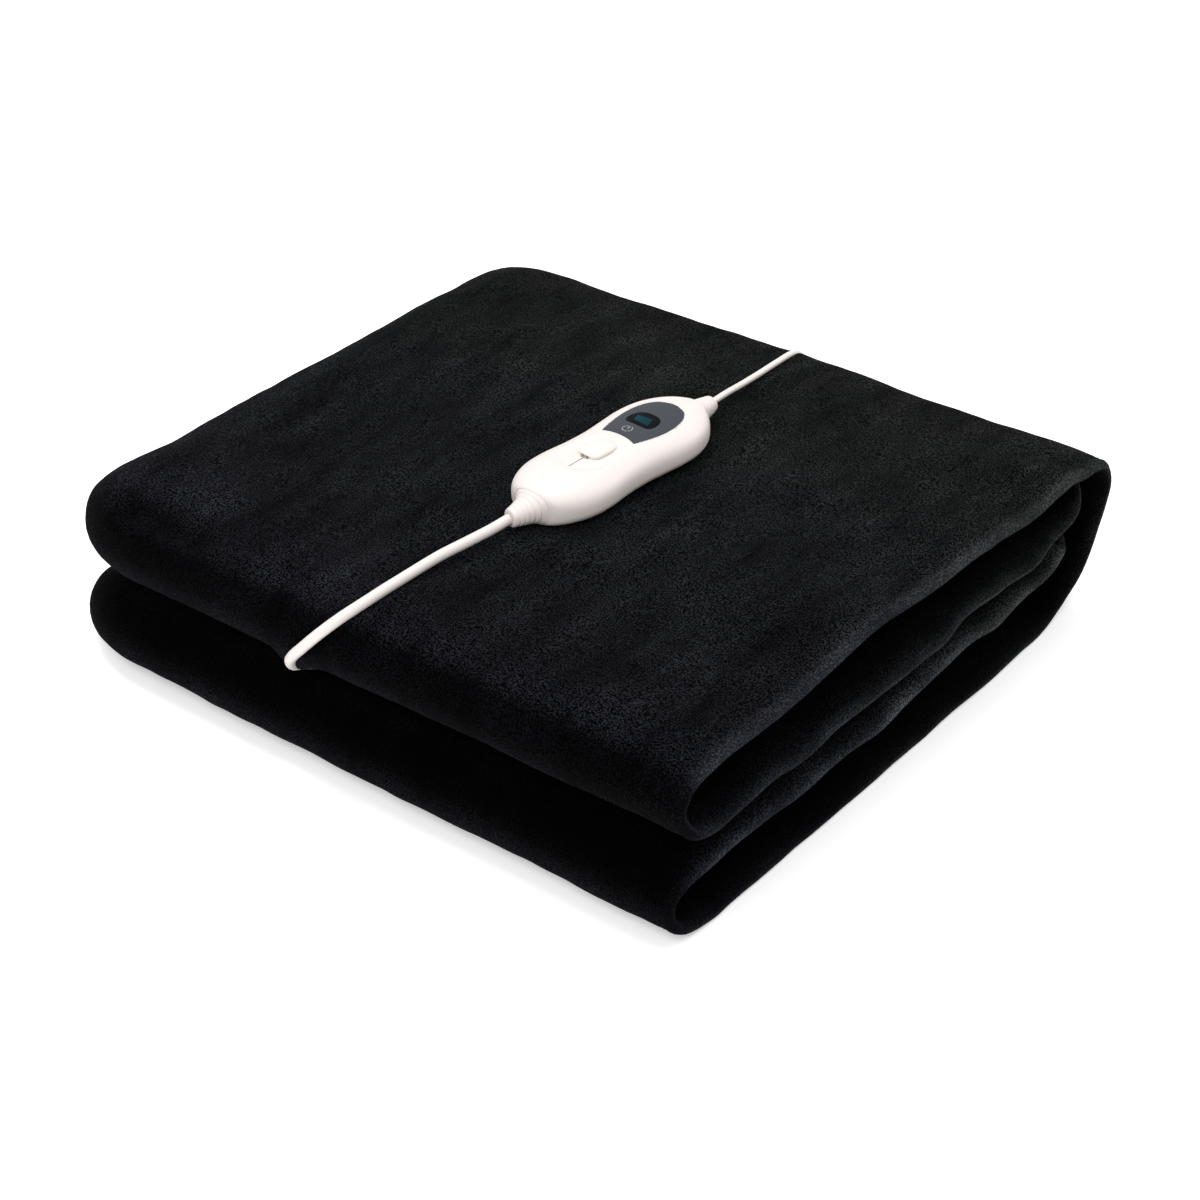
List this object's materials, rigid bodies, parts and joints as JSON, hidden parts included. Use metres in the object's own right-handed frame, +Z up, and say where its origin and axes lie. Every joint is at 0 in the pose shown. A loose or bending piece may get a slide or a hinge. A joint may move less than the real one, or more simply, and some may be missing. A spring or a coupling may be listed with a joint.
{
  "type": "electric heated throw",
  "caption": "Plush electric throw folded into a thick layered stack, with a corded handset on top, a coiled mains lead and a plug.",
  "frame": {"origin": "on the surface under the stack, at the middle of its outline, leads and plug left out", "axes": "+X towards the open layered end, -Y towards the two front folds under the blanket lead, +Z up"},
  "size_m": [0.4028, 0.4446, 0.1174],
  "materials": {
    "plush": "dense short charcoal plush pile",
    "housing": "warm white gloss moulded plastic",
    "panel": "slate grey printed panel",
    "window": "dark tinted display window",
    "lead": "white flexible PVC, satin",
    "tie": "black rubber band",
    "pin": "nickel-plated brass"
  },
  "bodies": {
    "throw": {"blanket": "plush", "handset_base": "housing", "handset_cover": "housing", "display_panel": "panel", "display_window": "window", "relief_front": "housing", "relief_back": "housing", "blanket_lead": "lead", "mains_lead": "lead", "lead_coil": "lead", "lead_tie": "tie", "plug_lead": "lead", "plug_body": "lead", "plug_pin_1": "pin", "plug_pin_2": "pin"},
    "switch": {"slide_switch": "housing"}
  },
  "joints": [
    {"name": "heat_slide", "type": "slide", "parent": "throw", "child": "switch", "axis": [-0.0506, -0.9987, 0], "range_m": [0, 0.01]}
  ]
}
